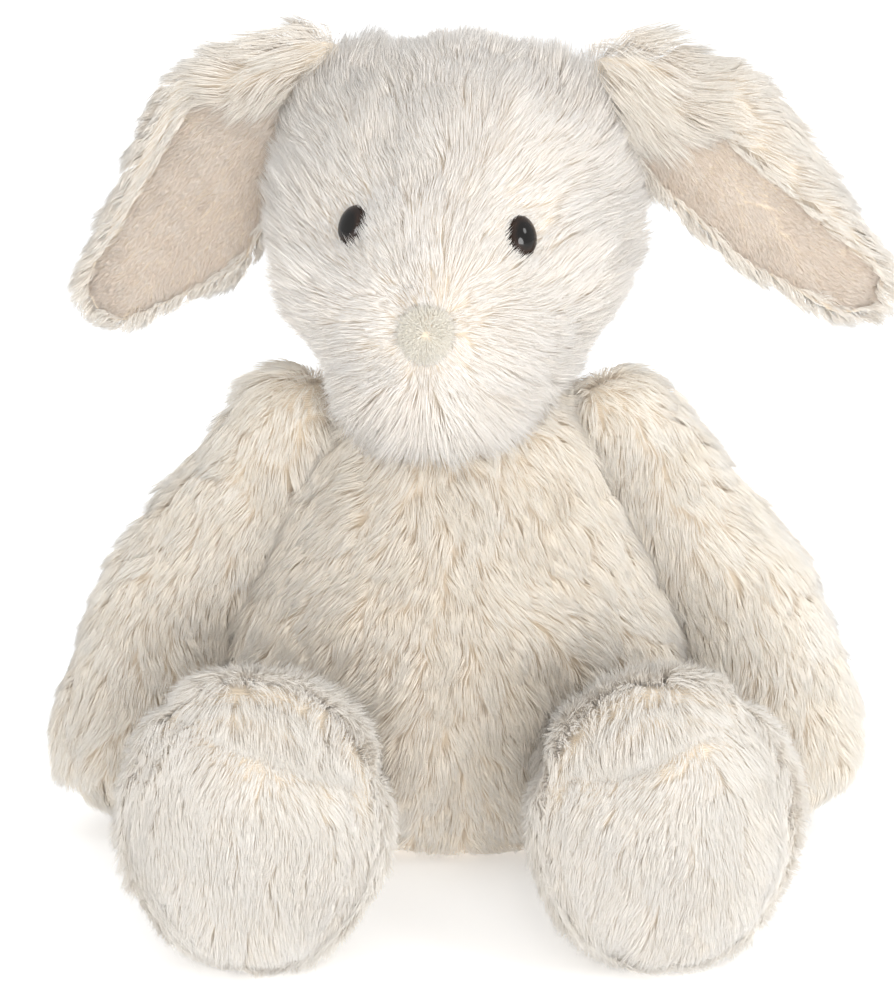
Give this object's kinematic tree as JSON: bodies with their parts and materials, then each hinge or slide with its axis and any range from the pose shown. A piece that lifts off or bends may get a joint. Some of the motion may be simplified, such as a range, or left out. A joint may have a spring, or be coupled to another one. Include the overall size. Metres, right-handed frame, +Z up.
{
  "type": "stuffed bunny rabbit",
  "caption": "Stuffed lop-eared bunny rabbit in cream long-pile plush, sitting with its legs forward; its head, ears, arms and legs flop on sewn joints.",
  "frame": {"origin": "on the flat of the seat, under the middle of the neck from left to right", "axes": "+Z up; -Y is the way the toy faces; +X is its own left side"},
  "size_m": [0.2048, 0.1705, 0.2013],
  "materials": {
    "body_plush": "matte",
    "head_plush": "matte",
    "foot_plush": "matte",
    "ear_velour": "matte",
    "nose_felt": "matte",
    "eye_plastic": "gloss",
    "washer_plastic": "satin",
    "fibre_fill": "matte",
    "pouch_cloth": "matte",
    "pellet_plastic": "satin",
    "label_satin": "satin",
    "thread": "matte"
  },
  "bodies": {
    "torso": {"torso_front_left": "body_plush", "torso_front_right": "body_plush", "torso_back_left": "body_plush", "torso_back_right": "body_plush", "seat_panel": "body_plush", "torso_stuffing": "fibre_fill", "pellet_pouch": "pouch_cloth", "pellets": "pellet_plastic", "tail": "head_plush", "care_label": "label_satin"},
    "neck": {"neck_stitching": "thread"},
    "head": {"head_face_left": "head_plush", "head_face_right": "head_plush", "head_back_left": "head_plush", "head_back_right": "head_plush", "head_gusset": "head_plush", "head_stuffing": "fibre_fill", "nose_patch": "nose_felt", "eye_left": "eye_plastic", "eye_right": "eye_plastic", "eye_washer_left": "washer_plastic", "eye_washer_right": "washer_plastic"},
    "ear_left": {"ear_back_left": "head_plush", "ear_lining_left": "ear_velour"},
    "shoulder_left": {"shoulder_stitching_left": "thread"},
    "arm_left": {"arm_front_left": "body_plush", "arm_back_left": "body_plush", "arm_stuffing_left": "fibre_fill"},
    "hip_left": {"hip_stitching_left": "thread"},
    "leg_left": {"leg_inner_left": "foot_plush", "leg_outer_left": "foot_plush", "sole_left": "foot_plush", "leg_stuffing_left": "fibre_fill"},
    "ear_right": {"ear_back_right": "head_plush", "ear_lining_right": "ear_velour"},
    "shoulder_right": {"shoulder_stitching_right": "thread"},
    "arm_right": {"arm_front_right": "body_plush", "arm_back_right": "body_plush", "arm_stuffing_right": "fibre_fill"},
    "hip_right": {"hip_stitching_right": "thread"},
    "leg_right": {"leg_inner_right": "foot_plush", "leg_outer_right": "foot_plush", "sole_right": "foot_plush", "leg_stuffing_right": "fibre_fill"}
  },
  "joints": [
    {"name": "head_turn", "type": "hinge", "parent": "torso", "child": "neck", "pos_m": [-0.0015, 0.003, 0.12], "axis": [0, 0, 1], "range_deg": [-20, 30]},
    {"name": "head_nod", "type": "hinge", "parent": "neck", "child": "head", "pos_m": [-0.0015, 0.003, 0.12], "axis": [-0.9918, 0.1218, 0.0384], "range_deg": [-3, 20]},
    {"name": "ear_left_lift", "type": "hinge", "parent": "head", "child": "ear_left", "pos_m": [0.03691, -0.00172, 0.18957], "axis": [-0.1219, -0.9925, 0], "range_deg": [0, 60]},
    {"name": "arm_left_swing", "type": "hinge", "parent": "torso", "child": "shoulder_left", "pos_m": [0.04, 0.002, 0.105], "axis": [-1, 0, 0], "range_deg": [-25, 30]},
    {"name": "arm_left_raise", "type": "hinge", "parent": "shoulder_left", "child": "arm_left", "pos_m": [0.04, 0.002, 0.105], "axis": [0, -1, 0], "range_deg": [0, 50]},
    {"name": "leg_left_lift", "type": "hinge", "parent": "torso", "child": "hip_left", "pos_m": [0.036, -0.023, 0.027], "axis": [-1, 0, 0], "range_deg": [-20, 25]},
    {"name": "leg_left_splay", "type": "hinge", "parent": "hip_left", "child": "leg_left", "pos_m": [0.036, -0.023, 0.027], "axis": [0, 0, 1], "range_deg": [-2, 10]},
    {"name": "ear_right_lift", "type": "hinge", "parent": "head", "child": "ear_right", "pos_m": [-0.0345, 0.00705, 0.19233], "axis": [0.1219, 0.9925, 0], "range_deg": [0, 60]},
    {"name": "arm_right_swing", "type": "hinge", "parent": "torso", "child": "shoulder_right", "pos_m": [-0.04, 0.002, 0.105], "axis": [-1, 0, 0], "range_deg": [-25, 30]},
    {"name": "arm_right_raise", "type": "hinge", "parent": "shoulder_right", "child": "arm_right", "pos_m": [-0.04, 0.002, 0.105], "axis": [0, 1, 0], "range_deg": [0, 50]},
    {"name": "leg_right_lift", "type": "hinge", "parent": "torso", "child": "hip_right", "pos_m": [-0.036, -0.023, 0.027], "axis": [-1, 0, 0], "range_deg": [-20, 25]},
    {"name": "leg_right_splay", "type": "hinge", "parent": "hip_right", "child": "leg_right", "pos_m": [-0.036, -0.023, 0.027], "axis": [0, 0, -1], "range_deg": [-2, 10]}
  ]
}
